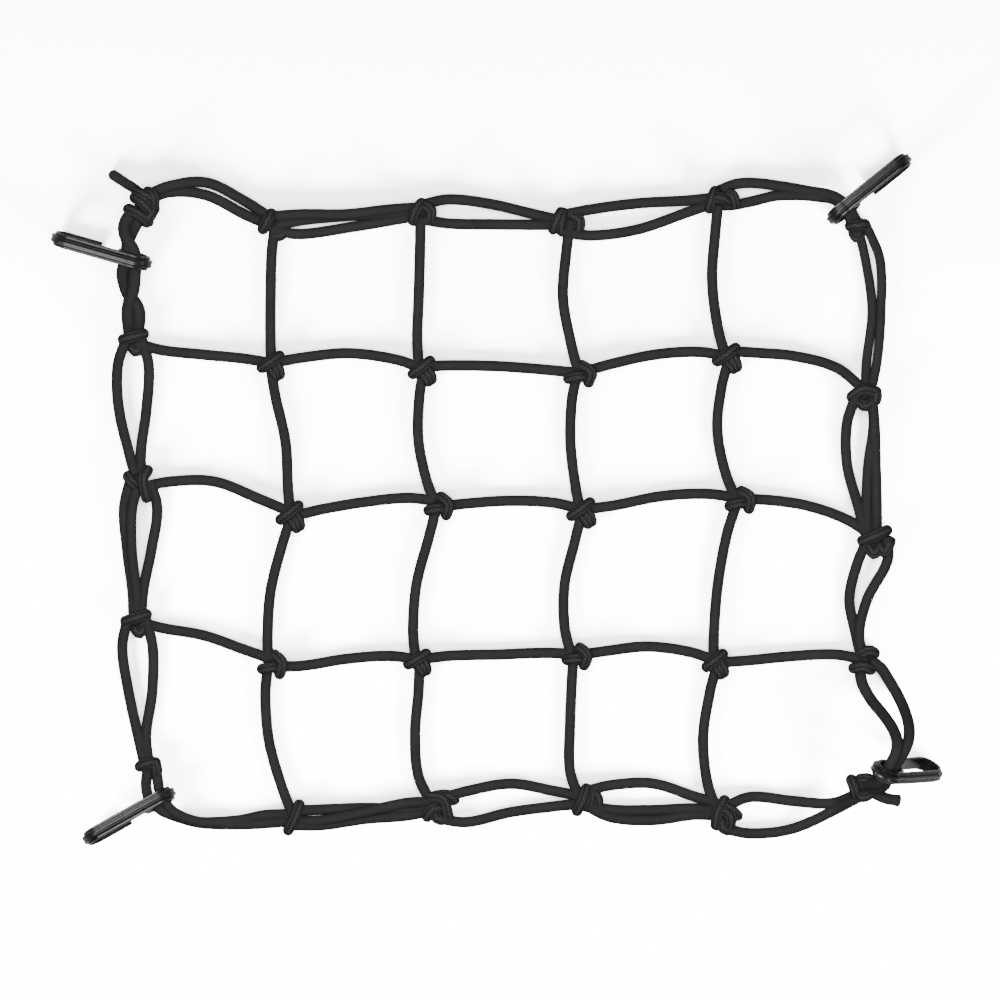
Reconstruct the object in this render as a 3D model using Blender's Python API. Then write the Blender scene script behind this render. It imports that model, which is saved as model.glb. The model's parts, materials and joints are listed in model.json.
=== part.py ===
"""Elastic cargo net: a knotted mesh of shock cord with a doubled border and four moulded hooks."""

import math

import bmesh
import bpy
from mathutils import Matrix, Vector

MM = 0.001
CORD = 5.4                  # diameter of the shock cord, mm
CORD_SIDES = 6
CORD_HALF_HEIGHT = CORD / 2 * math.sin(math.radians(60))    # a six-sided cord lies on a flat side
KNOT_LEVEL = 6.5            # height of the cords where they run into a knot, mm
KNOT_CORE = (5.6, 5.6, 5.2)   # half sizes of the packed cord inside a knot, mm
TURN_LOW = 3.2              # height at which a turn of a knot goes under, mm
TURN_SIDES = 5
TURN_SWELL = 1.1            # how far a turn bulges outwards on its way up and down
NET_FACETS = 9800

HOOK_LENGTH = 57.6          # from the end of the eye to the outside of the bend, mm
HOOK_WIDTH = 7.5            # width of the moulded band, mm
HOOK_RIB_WIDTH = 3.8        # the raised rib along the middle of its outside, mm
HOOK_INSIDE = 1.4           # middle line of the band to its inside, mm
HOOK_FLANGE = 1.2           # middle line to the outside of the two side flanges, mm
HOOK_RIB = 2.2              # middle line to the top of the rib, mm
BEND_RADIUS = 7.2           # middle line of the large open bend, mm
ARM_LENGTH = 28.0           # from the outside of the bend back to the end of the free arm, mm
EYE_HALF_LENGTH = 8.8       # middle line of the closed eye, mm
EYE_HALF_HEIGHT = 7.0
EYE_DROP = 0.2              # the eye sits this far below the middle of the bend, mm

# Knot, x and y of its middle, its turns, how far they are turned, widened and lengthened, and
# how far the knot is held up off the floor.
KNOTS = (
    ("TL", -194.0, 162.0, "corner_tl", 0, 1.0, 1.0, 0.0),
    ("T1", -124.0, 152.5, "top_1", 0, 1.0, 1.0, 0.0),
    ("T2", -41.0, 158.0, "top_2", 0, 1.0, 1.0, 0.0),
    ("T3", 35.0, 153.5, "top_3", 0, 1.0, 1.0, 0.0),
    ("T4", 121.5, 165.0, "top_4", 0, 1.0, 1.0, 0.0),
    ("TR", 198.5, 150.5, "corner_tr", 0, 1.0, 1.0, 0.0),
    ("L1", -199.0, 89.0, "band", 10, 1.0, 1.0, 0.0),
    ("M11", -123.0, 73.5, "slant", -4, 0.95, 1.0, 0.0),
    ("M12", -40.0, 70.5, "slant", 0, 0.97, 1.0, 0.0),
    ("M13", 46.0, 69.0, "curl", 2, 1.15, 0.95, 0.0),
    ("M14", 127.5, 77.5, "slant", 0, 1.03, 1.02, 0.0),
    ("R1", 203.0, 57.5, "right_1", 0, 1.0, 1.0, 0.0),
    ("L2", -196.5, 10.5, "left_2", 0, 1.0, 1.0, 0.0),
    ("M21", -112.5, -9.5, "slant", 0, 1.0, 1.1, 0.0),
    ("M22", -31.5, -3.5, "curl", 0, 1.0, 1.0, 0.0),
    ("M23", 47.5, -7.5, "slant", 0, 1.05, 1.05, 0.0),
    ("M24", 134.0, -0.5, "curl", 6, 1.08, 1.0, 0.0),
    ("R2", 208.0, -20.5, "right_2", 0, 1.0, 1.0, 0.0),
    ("L3", -197.5, -65.4, "band", 12, 1.05, 1.05, 0.0),
    ("M31", -123.0, -90.5, "curl", 0, 1.0, 1.08, 0.0),
    ("M32", -42.5, -89.5, "slant", -4, 0.95, 0.9, 0.0),
    ("M33", 44.5, -86.0, "curl", -3, 1.0, 0.95, 0.0),
    ("M34", 121.0, -90.5, "slant", 0, 0.9, 1.0, 0.0),
    ("R3", 202.5, -88.0, "right_3", 0, 1.0, 1.0, 0.0),
    ("BL", -190.5, -146.0, "corner_bl", 0, 1.0, 1.0, 0.0),
    ("B1", -111.0, -175.0, "bottom_1", 0, 1.0, 1.0, 0.0),
    ("B2", -32.5, -168.0, "bottom_2", 0, 1.0, 1.0, 0.0),
    ("B3", 48.0, -164.5, "bottom_3", 0, 1.0, 1.0, 0.0),
    ("B4", 124.5, -172.0, "bottom_4", 0, 1.0, 1.0, 0.0),
    ("BR", 200.8, -156.5, "corner_br", 0, 1.0, 1.0, 15.0),
)

# The turns of cord that show on each knot: start x, y; over x, y; end x, y from the middle of the
# knot; height of the turn where it passes over.
TURNS = {
    "slant": (
        (-5.0, -1.8, -1.0, 1.6, 3.6, 5.2, 11.0),
        (0.0, 0.5, 3.4, -2.2, 3.8, -4.8, 9.0),
    ),
    "curl": (
        (-4.9, -2.2, -1.8, -1.6, 1.4, -1.4, 11.0),
        (1.2, 4.8, 5.0, 0.8, 3.8, -4.5, 9.5),
    ),
    "band": (
        (-5.3, 0.0, 0.0, 0.6, 5.0, 1.0, 10.5),
        (-1.6, -4.8, 0.0, -8.0, 1.6, -4.8, 5.5),
    ),
    "corner_tl": (
        (2.6, 6.4, 6.2, 4.6, 5.4, -2.0, 10.5),
        (-3.8, 3.4, 0.6, 0.4, 3.6, -3.4, 13.0),
        (-3.0, 6.4, 1.0, 4.8, 4.6, 1.6, 12.5),
        (-7.2, -2.4, -2.6, -5.2, 2.6, -8.4, 11.0),
        (5.8, -2.0, 4.6, -5.6, 1.8, -8.8, 10.0),
    ),
    "top_1": (
        (-3.6, -3.4, -1.6, 0.6, 0.4, 4.0, 11.0),
        (2.4, -6.6, 5.4, -7.4, 7.2, -4.6, 5.0),
    ),
    "top_2": (
        (-4.2, -4.2, -3.4, 0.4, 0.0, 4.3, 10.5),
        (0.6, 3.4, 5.2, 1.2, 4.4, -3.6, 9.5),
    ),
    "top_3": (
        (-3.2, -4.4, -1.6, 0.0, 0.6, 3.8, 10.5),
        (0.2, -4.6, 0.8, 0.0, 1.8, 3.4, 9.5),
        (5.0, 1.6, 9.0, 0.0, 8.0, -4.0, 6.5),
    ),
    "top_4": (
        (-3.9, -4.4, -3.0, 0.0, -1.2, 3.9, 10.0),
        (-1.5, 0.4, 2.0, 0.8, 4.6, -0.8, 11.0),
        (3.6, 2.6, 7.2, 2.2, 8.2, -2.0, 7.5),
    ),
    "corner_tr": (
        (-3.4, -0.2, 0.0, 0.4, 3.6, 0.8, 10.5),
        (-1.8, -3.6, -0.4, -6.6, 1.6, -3.8, 6.5),
    ),
    "right_1": (
        (-6.8, -0.9, -1.6, 3.0, 5.2, 1.6, 10.0),
        (-2.6, -3.6, -0.4, -6.2, 2.6, -3.2, 8.0),
        (5.4, 1.6, 6.0, -0.4, 5.2, -2.6, 8.0),
    ),
    "left_2": (
        (-5.2, 2.0, -4.2, -0.4, -1.4, -2.6, 10.0),
        (4.6, 5.0, 2.6, 0.6, 4.2, -8.4, 10.5),
    ),
    "right_2": (
        (-6.0, -1.8, 0.0, 0.6, 6.0, 3.2, 11.0),
        (-2.6, -5.6, -0.5, -9.5, 1.6, -6.0, 7.5),
        (2.6, -4.6, 5.5, -8.5, 8.0, -2.4, 6.5),
    ),
    "right_3": (
        (-1.8, 2.6, 2.6, 5.0, 5.0, 3.4, 9.5),
        (-5.4, -4.2, -1.0, -3.6, 2.8, -5.0, 10.5),
    ),
    "corner_bl": (
        (-4.6, -0.6, -1.0, 1.2, 3.0, 1.4, 10.0),
        (1.6, 1.6, 4.0, -0.6, 3.6, -5.0, 9.0),
    ),
    "bottom_1": (
        (-2.8, -5.9, 0.6, 0.4, 2.6, 6.6, 10.5),
    ),
    "bottom_2": (
        (-3.4, 4.2, 3.4, 3.4, 5.6, -5.2, 10.0),
        (-4.8, -5.6, -2.6, -2.0, 1.6, -1.4, 10.5),
        (-1.0, 4.4, 5.0, 5.2, 7.6, 2.6, 6.5),
    ),
    "bottom_3": (
        (-3.2, -5.9, -0.4, -0.4, 1.4, 5.1, 10.5),
        (1.8, -3.8, 3.6, 0.6, 2.6, 4.6, 8.0),
        (3.6, 3.0, 6.4, 1.0, 6.2, -2.4, 6.5),
    ),
    "bottom_4": (
        (-3.4, -6.2, -2.8, 0.0, 0.8, 6.0, 10.0),
        (0.4, 3.0, 4.2, 1.8, 7.4, -1.4, 9.0),
        (0.6, 0.6, 4.4, -2.0, 3.6, -6.2, 11.0),
    ),
    "corner_br": (
        (-5.6, 2.6, -4.8, -0.8, -3.2, -4.6, 10.5),
        (-2.0, -4.0, 0.4, -6.5, 3.6, -4.4, 8.0),
        (-1.0, 3.0, 3.2, 3.6, 5.6, 1.0, 10.5),
    ),
}

# One run of cord between two knots: how far it lies to the side of the straight line between
# them (up for a run across, right for a run down) at its start, 1/5, 1/2, 4/5 and end.
MESH = (
    ("T1", "M11", 3.0, 0.6, -0.4, -0.8, -0.5),
    ("M11", "M21", -1.0, -0.4, 2.0, 0.2, -0.5),
    ("M21", "M31", 0.0, -3.2, -6.1, -4.7, -2.0),
    ("M31", "B1", -2.2, -6.2, -7.8, -4.3, 0.0),
    ("T2", "M12", -0.5, -0.9, -1.9, -3.1, -2.2),
    ("M12", "M22", 0.0, -3.9, -7.0, -5.2, -1.4),
    ("M22", "M32", -1.0, -3.2, -6.7, -5.3, -1.4),
    ("M32", "B2", 0.5, -2.1, -7.0, -8.1, -2.2),
    ("T3", "M13", 6.0, 1.5, -3.7, -2.6, -0.5),
    ("M13", "M23", -1.5, -4.7, -5.8, -3.6, -1.0),
    ("M23", "M33", -0.5, -3.6, -8.3, -7.4, -3.0),
    ("M33", "B3", -2.0, -3.6, -5.6, -6.7, -2.2),
    ("T4", "M14", 0.8, -2.1, -5.7, -4.5, -1.0),
    ("M14", "M24", 0.5, -4.8, -9.1, -6.7, -1.8),
    ("M24", "M34", -1.0, -4.3, -5.4, -3.8, -1.4),
    ("M34", "B4", 0.5, -4.3, -8.9, -7.6, -2.8),
    ("L1", "M11", -2.5, -3.8, -1.6, 0.8, 1.4),
    ("M11", "M12", 1.5, 5.1, 8.4, 6.2, 1.6),
    ("M12", "M13", 2.7, 3.5, 3.4, 1.9, 0.5),
    ("M13", "M14", 0.5, 3.5, 6.3, 5.4, 1.0),
    ("M14", "R1", 4.0, 7.2, 11.1, 10.6, 2.2),
    ("L2", "M21", -4.5, 3.3, 9.3, 5.5, 2.5),
    ("M21", "M22", 0.0, 2.8, 5.1, 5.6, 2.2),
    ("M22", "M23", -0.5, 2.1, 4.8, 4.9, 2.0),
    ("M23", "M24", 2.0, 2.8, 5.8, 5.0, 1.0),
    ("M24", "R2", 0.5, 4.3, 7.1, 5.3, -0.5),
    ("L3", "M31", -1.5, -0.4, 3.1, 2.8, 2.7),
    ("M31", "M32", -1.0, -1.2, 2.3, 3.7, 1.5),
    ("M32", "M33", 1.5, 2.9, 2.5, 2.4, 1.0),
    ("M33", "M34", 0.5, 3.5, 7.4, 6.0, 2.0),
    ("M34", "R3", 1.0, 1.4, 3.0, 3.3, 0.0),
)

# The doubled border: as above, then how far the run is lifted at 1/5, 1/2 and 4/5.
BORDER = (
    ("TL", "T1", 4.0, 12.0, 17.0, 9.6, 2.5, 3.6, 0.0, 0.0),
    ("TL", "T1", 1.0, 8.8, 9.9, 2.2, -2.0, 0.0, 0.0, 0.0),
    ("T1", "T2", 3.0, 3.1, 1.5, 2.6, 2.5, 2.5, 2.5, 2.0),
    ("T1", "T2", -2.7, -0.2, 0.6, 0.3, 0.0, 0.0, 0.0, 0.0),
    ("T1", "T2", -4.5, -7.7, -6.0, -3.5, -1.5, 0.0, 0.0, 0.0),
    ("T2", "T3", 4.0, 7.9, 6.7, 2.7, 0.0, 0.0, 0.0, 0.0),
    ("T2", "T3", -4.0, -5.4, -4.5, -3.4, -2.5, 0.0, 0.0, 0.0),
    ("T3", "T4", 2.5, 3.7, 3.6, 1.6, 1.0, 0.0, 0.0, 0.0),
    ("T3", "T4", -6.0, -10.7, -10.7, -5.2, -1.5, 0.0, 0.0, 0.0),
    ("L1", "L2", -4.0, -9.5, -9.6, -4.9, -1.0, 0.0, 0.0, 0.0),
    ("L1", "L2", 4.0, 7.6, 5.6, 1.8, 1.5, 0.0, 0.0, 0.0),
    ("L2", "L3", -4.5, -7.8, -5.8, -2.6, -1.5, 0.0, 0.0, 0.0),
    ("L2", "L3", 0.5, -3.3, -3.3, -0.5, 0.5, 2.5, 2.5, 2.0),
    ("L2", "L3", 6.0, 10.5, 7.6, 3.4, 2.5, 0.0, 0.0, 0.0),
    ("L3", "BL", -5.0, -9.4, -8.0, -4.9, -2.5, 0.0, 0.0, 0.0),
    ("L3", "BL", 5.0, 7.4, 5.0, -0.5, 0.0, 0.0, 0.0, 0.0),
    ("B1", "B2", 4.0, 3.2, 1.9, -0.8, -1.0, 0.0, 0.0, 0.0),
    ("B1", "B2", -1.5, -2.8, 0.0, 2.8, 1.5, 2.0, 4.3, 3.0),
    ("B1", "B2", -4.0, -5.4, -4.1, -4.3, -2.0, 0.0, 0.0, 0.0),
    ("B2", "B3", 3.0, 6.9, 10.0, 5.0, 1.0, 0.0, 0.0, 0.0),
    ("B2", "B3", -8.0, -10.1, -5.7, -3.5, -2.5, 0.0, 0.0, 0.0),
    ("B3", "B4", 3.8, 9.0, 12.1, 7.2, 4.0, 0.0, 0.0, 0.0),
    ("B3", "B4", -2.5, -4.5, -2.5, 0.6, 0.0, 0.0, 0.0, 0.0),
    ("B3", "B4", -7.0, -8.7, -8.0, -2.8, -1.5, 0.0, 0.0, 0.0),
    ("B4", "BR", 2.5, 5.4, -1.4, -7.0, -3.0, 0.0, 0.0, 4.5),
    ("B4", "BR", -9.5, -14.7, -16.8, -11.2, -5.5, 0.0, 0.0, 4.5),
    ("TR", "R1", 0.0, 3.7, 6.0, 1.4, -1.5, 0.0, 0.0, 0.0),
    ("TR", "R1", 5.0, 11.7, 10.9, 7.4, 4.5, 0.0, 0.0, 0.0),
    ("R1", "R2", -5.0, -11.1, -12.4, -7.6, -4.5, 0.0, 0.0, 0.0),
    ("R1", "R2", 3.0, 3.7, -0.8, -3.3, -3.0, 0.0, 0.0, 0.0),
    ("R1", "R2", 3.5, 3.9, 3.2, 2.3, 1.0, 3.4, 0.0, 0.0),
    ("R2", "R3", -3.0, -7.9, -11.0, -5.7, -1.5, 0.0, 0.0, 0.0),
    ("R2", "R3", 7.0, 8.2, -0.9, -4.2, 0.0, 0.0, 0.0, 3.6),
)

# Runs that turn a corner or end free: x, y and height of each point of the middle line.
CORNERS = (
    ((123, 170, 6.5), (132, 173.5, 2.6), (142, 174, 2.4), (158, 172, 3.2), (172, 169.5, 6.0),
     (184.8, 166.9, 8.8), (193.4, 161, 8.8), (198.5, 152, 6.5)),
    ((124, 161.5, 6.5), (131, 162, 2.6), (141, 164, 2.4), (154, 167, 2.4), (166, 167.3, 4.0),
     (176, 166.4, 7.4), (186.2, 164.6, 7.5), (191.5, 159.1, 9.2), (196.5, 150.5, 6.5)),
    ((-200.2, 158, 7.5), (-204.2, 152.8, 8), (-204.9, 147.9, 9.6), (-202.4, 142.6, 10.8),
     (-199.0, 136.2, 9.8), (-197.9, 130, 9.6), (-198.0, 124, 8.6), (-198.4, 118.5, 7.8),
     (-199.8, 113.2, 7.4), (-201.8, 107.8, 4.4), (-202.4, 102.5, 2.5), (-202.1, 97.2, 2.6),
     (-201.2, 90.5, 6)),
    ((-193.6, 156, 6), (-197.6, 150.6, 4.4), (-200.2, 146, 5.4), (-202.3, 142, 8.2),
     (-202.3, 137.8, 9.6), (-202.2, 133.6, 9.4), (-204.2, 127.6, 8.6), (-204.8, 122.3, 5.6),
     (-203.8, 117.8, 3.2), (-201.6, 113.4, 2.5), (-198.4, 109.2, 2.5), (-196.6, 104.8, 2.5),
     (-196.1, 99.8, 2.6), (-197.2, 92, 6)),
    ((-191.4, -147.7, 6.5), (-192.3, -157, 5.6), (-190.9, -163.6, 7.6), (-187, -168.2, 8.4),
     (-182, -171.8, 8.0), (-169.4, -176.3, 2.4), (-161, -178, 2.4), (-141, -178.6, 2.4),
     (-127, -178, 2.6), (-116.6, -177.4, 6.0)),
    ((-187.6, -147.7, 6.5), (-186, -153.2, 7.5), (-185.0, -159.1, 8.2), (-182.7, -164.5, 8.4),
     (-179.9, -168.9, 8.8), (-175.8, -172.4, 8.6), (-169.4, -175.5, 6.6), (-161, -177.4, 5.6),
     (-141, -176.3, 2.6), (-127, -173.5, 2.4), (-116.6, -172.4, 6.0)),
    ((201.5, -90.5, 6.5), (200.3, -96, 3.2), (201.8, -102.4, 2.8), (206.4, -110.4, 7.0),
     (212.4, -118.0, 17.0), (217.0, -125.2, 29.5), (219.2, -132.2, 38.6), (218.4, -138.6, 42.4),
     (215.2, -144.9, 42.0), (213.2, -148.8, 40.6), (211.3, -152.6, 39.0), (207.6, -155.4, 33.0),
     (202.4, -156.4, 22.5)),
    ((205.5, -88.5, 6.5), (211.2, -92.2, 4.4), (215.8, -99, 2.8), (219.8, -105.9, 4.6),
     (223.0, -112.5, 10.5), (225.3, -119.6, 20.0), (226.2, -126.4, 29.6), (225.2, -133, 36.0),
     (222.0, -139.4, 38.2), (218.3, -144.9, 37.7), (216.4, -148.7, 36.3), (214.5, -152.5, 34.7),
     (210.4, -156.0, 29.5), (203.6, -158.2, 21.5)),
    ((-194.5, 164, 7.5), (-197, 169.5, 6.0), (-204.5, 174.5, 3.6), (-212, 179.5, 2.4)),
    ((203.5, -158.8, 20.5), (213, -163.6, 17.5), (222.2, -165.4, 14.5)),
)

# Hook, x and y of the end of its eye, which way it points, the lean of its plane, its slope and
# the height of the middle of its bend.
HOOKS = (
    ("hook_top_left", -188.9, 128.8, 164.2, -9.0, 0.0, 9.58),
    ("hook_top_right", 182.5, 152.5, 38.7, -8.0, 0.0, 9.58),
    ("hook_bottom_left", -176.3, -159.7, 209.3, 9.0, 0.0, 9.58),
    ("hook_bottom_right", 207.8, -149.0, 1.6, 33.5, 53.7, 48.4),
)

PLAN_STOPS = (0.0, 0.2, 0.5, 0.8, 1.0)


def clear_scene():
    for item in list(bpy.data.objects):
        bpy.data.objects.remove(item, do_unlink=True)


def plastic(name, colour, roughness, metallic):
    """A plain Principled material."""
    material = bpy.data.materials.new(name)
    material.use_nodes = True
    shader = material.node_tree.nodes["Principled BSDF"]
    shader.inputs["Base Color"].default_value = (*colour, 1.0)
    shader.inputs["Roughness"].default_value = roughness
    shader.inputs["Metallic"].default_value = metallic
    material.diffuse_color = (*colour, 1.0)
    return material


def spline(stops, points, at):
    """A smooth curve through the points, read at one place along its stops."""
    count = len(points)
    index = 0
    while index < count - 2 and at > stops[index + 1]:
        index += 1
    slopes = []
    for end in (index, index + 1):
        low = max(end - 1, 0)
        high = min(end + 1, count - 1)
        slopes.append((points[high] - points[low]) / (stops[high] - stops[low]))
    width = stops[index + 1] - stops[index]
    u = (at - stops[index]) / width
    return (
        points[index] * (2 * u**3 - 3 * u**2 + 1)
        + slopes[0] * (width * (u**3 - 2 * u**2 + u))
        + points[index + 1] * (3 * u**2 - 2 * u**3)
        + slopes[1] * (width * (u**3 - u**2))
    )


def eased(stops, values, at):
    """Values joined by level-ended steps, so that nothing dips below the floor."""
    index = 0
    while index < len(stops) - 2 and at > stops[index + 1]:
        index += 1
    u = (at - stops[index]) / (stops[index + 1] - stops[index])
    u = min(max(u, 0.0), 1.0)
    step = u * u * (3 - 2 * u)
    return values[index] * (1 - step) + values[index + 1] * step


def run_path(first, last, sideways, lifts, places):
    """The middle line of a run between two knots, given as x, y and lift."""
    across = abs(last.x - first.x) > abs(last.y - first.y)
    side = Vector((0.0, 1.0, 0.0)) if across else Vector((1.0, 0.0, 0.0))
    plan = [first.lerp(last, t) + side * s for t, s in zip(PLAN_STOPS, sideways)]
    heights = [first.z + KNOT_LEVEL, *(CORD_HALF_HEIGHT + lift for lift in lifts), last.z + KNOT_LEVEL]
    path = []
    for at in places:
        point = spline(PLAN_STOPS, plan, at)
        point.z = eased(PLAN_STOPS, heights, at)
        path.append(point)
    return path


def corner_path(points, pieces):
    """The middle line through the listed points, with the same number of pieces in each step."""
    line = [Vector(point) for point in points]
    stops = [0.0]
    for a, b in zip(line, line[1:]):
        stops.append(stops[-1] + (b - a).length)
    path = []
    for a, b in zip(stops, stops[1:]):
        path.extend(spline(stops, line, a + (b - a) * k / pieces) for k in range(pieces))
    path.append(line[-1])
    return path


def turn_path(turn, angle, wide, tall, centre, pieces):
    """One turn of a knot: up from under, over the cords and down again."""
    x0, y0, xm, ym, x1, y1, top = turn
    plan = []
    for x, y in ((x0, y0), (xm, ym), (x1, y1)):
        plan.append(Matrix.Rotation(math.radians(angle), 2) @ Vector((x * wide, y * tall)))
    rise = (TURN_LOW + top) * 0.52
    points = [
        (*plan[0], TURN_LOW),
        (*(plan[0] * TURN_SWELL), rise),
        (*plan[1], top),
        (*(plan[2] * TURN_SWELL), rise),
        (*plan[2], TURN_LOW),
    ]
    return [centre + point for point in corner_path(points, pieces)]


def sweep(mesh, path, outline, upright):
    """Sweeps an outline (side, up) along a path and closes the two ends."""
    count = len(path)
    rings = []
    up = Vector((0.0, 0.0, 1.0))
    for i, point in enumerate(path):
        along = (path[min(i + 1, count - 1)] - path[max(i - 1, 0)]).normalized()
        if not upright and i == 0:
            up = along.orthogonal().normalized()
        side = along.cross(up).normalized()
        over = side.cross(along).normalized()
        if not upright:
            up = over
        rings.append([mesh.verts.new((point + side * s + over * u) * MM) for s, u in outline])
    sides = len(outline)
    for a, b in zip(rings, rings[1:]):
        for k in range(sides):
            mesh.faces.new((a[k], a[(k + 1) % sides], b[(k + 1) % sides], b[k]))
    mesh.faces.new(list(reversed(rings[0])))
    mesh.faces.new(rings[-1])


def round_outline(sides, diameter, first=0.0):
    """A round section as a polygon, with its first corner at the given angle in degrees."""
    outline = []
    for k in range(sides):
        a = math.radians(first) + math.tau * k / sides
        outline.append((diameter / 2 * math.cos(a), diameter / 2 * math.sin(a)))
    return outline


def new_object(name, mesh_data, material):
    item = bpy.data.objects.new(name, mesh_data)
    bpy.context.scene.collection.objects.link(item)
    if material is not None:
        item.data.materials.append(material)
    return item


def closed_mesh(name, fill):
    """A mesh filled by the given function, with its faces turned outwards."""
    mesh = bmesh.new()
    fill(mesh)
    bmesh.ops.recalc_face_normals(mesh, faces=mesh.faces)
    bmesh.ops.triangulate(mesh, faces=[face for face in mesh.faces if len(face.verts) > 4])
    data = bpy.data.meshes.new(name)
    mesh.to_mesh(data)
    mesh.free()
    return data


def shade(body, crease):
    """Shades the body smooth, but for edges sharper than the crease angle."""
    body.data.shade_smooth()
    body.data.set_sharp_from_angle(angle=math.radians(crease))


def fuse(name, pieces, material, wanted=0):
    """Joins overlapping closed pieces into one body."""
    group = bpy.data.collections.new(name + "_pieces")
    bpy.context.scene.collection.children.link(group)
    for number, piece in enumerate(pieces[1:]):
        helper = bpy.data.objects.new(f"{name}_piece_{number}", piece)
        helper.hide_render = True
        helper.display_type = "WIRE"
        group.objects.link(helper)
    body = new_object(name, pieces[0], material)
    union = body.modifiers.new("joined", "BOOLEAN")
    union.operation = "UNION"
    union.operand_type = "COLLECTION"
    union.collection = group
    union.solver = "MANIFOLD"
    bpy.context.view_layer.objects.active = body
    body.select_set(True)
    bpy.ops.object.modifier_apply(modifier="joined")
    body.select_set(False)
    for helper in list(group.objects):
        bpy.data.objects.remove(helper, do_unlink=True)
    bpy.data.collections.remove(group)
    keep_outer_skin(body.data)
    if wanted:
        thin_out(body, wanted)
    return body


def thin_out(body, wanted):
    """Merges the many small facets along the joins until the body has about the wanted number."""
    fewer = body.modifiers.new("fewer", "DECIMATE")
    fewer.ratio = wanted / len(body.data.polygons)
    bpy.context.view_layer.objects.active = body
    body.select_set(True)
    bpy.ops.object.modifier_apply(modifier="fewer")
    body.select_set(False)
    for vertex in body.data.vertices:
        vertex.co.z = max(vertex.co.z, 0.0)


def keep_outer_skin(data):
    """Removes the skins of the small hollows that are closed in between crossing cords."""
    mesh = bmesh.new()
    mesh.from_mesh(data)
    mesh.faces.ensure_lookup_table()
    seen = set()
    skins = []
    for face in mesh.faces:
        if face.index in seen:
            continue
        seen.add(face.index)
        skin = [face]
        for member in skin:
            for edge in member.edges:
                for other in edge.link_faces:
                    if other.index not in seen:
                        seen.add(other.index)
                        skin.append(other)
        skins.append(skin)
    skins.sort(key=len, reverse=True)
    inner = [face for skin in skins[1:] for face in skin]
    bmesh.ops.delete(mesh, geom=inner, context="FACES")
    bmesh.ops.triangulate(mesh, faces=mesh.faces)
    mesh.to_mesh(data)
    mesh.free()


def cord(name, path):
    outline = round_outline(CORD_SIDES, CORD)
    return closed_mesh(name, lambda mesh: sweep(mesh, path, outline, True))


def turn_of_knot(name, path):
    outline = round_outline(TURN_SIDES, CORD * 1.04, 90)
    return closed_mesh(name, lambda mesh: sweep(mesh, path, outline, False))


def knot_core(name, middle):
    """The packed cord inside a knot, hidden under its turns."""
    data = bpy.data.meshes.new(name)
    mesh = bmesh.new()
    bmesh.ops.create_icosphere(mesh, subdivisions=1, radius=1.0)
    bmesh.ops.scale(mesh, vec=Vector(KNOT_CORE) * MM, verts=mesh.verts)
    raised = middle + Vector((0.0, 0.0, KNOT_LEVEL))
    bmesh.ops.translate(mesh, vec=raised * MM, verts=mesh.verts)
    mesh.to_mesh(data)
    mesh.free()
    return data


def net_pieces():
    places = {row[0]: Vector((row[1], row[2], row[7])) for row in KNOTS}
    mesh_stops = (0.0, 0.12, 0.24, 0.5, 0.76, 0.88, 1.0)
    border_stops = (0.0, 0.12, 0.24, 0.41, 0.59, 0.76, 0.88, 1.0)
    pieces = []
    for a, b, *sideways in MESH:
        path = run_path(places[a], places[b], sideways, (0.0, 0.0, 0.0), mesh_stops)
        pieces.append(cord(f"run_{a}_{b}", path))
    for a, b, *row in BORDER:
        path = run_path(places[a], places[b], row[:5], row[5:], border_stops)
        pieces.append(cord(f"border_{a}_{b}", path))
    for number, points in enumerate(CORNERS):
        pieces.append(cord(f"corner_{number}", corner_path(points, 1)))
    for name, _, _, kind, angle, wide, tall, _ in KNOTS:
        pieces.append(knot_core(f"core_{name}", places[name]))
        for turn in TURNS[kind]:
            path = turn_path(turn, angle, wide, tall, places[name], 1)
            pieces.append(turn_of_knot(f"turn_{name}", path))
    return pieces


def band_outline():
    """The section of a hook: flat inside, a raised rib along the outside."""
    half = HOOK_WIDTH / 2
    rib = HOOK_RIB_WIDTH / 2
    return (
        (-half, -HOOK_INSIDE),
        (half, -HOOK_INSIDE),
        (half, HOOK_FLANGE),
        (rib, HOOK_FLANGE),
        (rib, HOOK_RIB),
        (-rib, HOOK_RIB),
        (-rib, HOOK_FLANGE),
        (-half, HOOK_FLANGE),
    )


def hook_lines():
    """The middle lines of the hook in its own plane: the open bend with its shank, and the eye."""
    tip = HOOK_LENGTH - HOOK_RIB - BEND_RADIUS
    arm = HOOK_LENGTH - ARM_LENGTH
    middle = HOOK_RIB + EYE_HALF_LENGTH
    top = EYE_HALF_HEIGHT - EYE_DROP
    shank = [(middle + 1.0, top - 0.2), (middle + 5.5, BEND_RADIUS - 0.2),
             (24.5, BEND_RADIUS), (36.0, BEND_RADIUS)]
    bend = []
    for k in range(9):
        a = math.radians(90 - 22.5 * k)
        bend.append((tip + BEND_RADIUS * math.cos(a), BEND_RADIUS * math.sin(a)))
    free_arm = [(arm + 8.0, -BEND_RADIUS), (arm, -BEND_RADIUS + 0.8)]
    eye = []
    for k in range(14):
        a = math.tau * (k + 0.5) / 14
        x = middle + EYE_HALF_LENGTH * math.cos(a)
        eye.append((x, EYE_HALF_HEIGHT * math.sin(a) - EYE_DROP))
    return shank + bend + free_arm, eye


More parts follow.
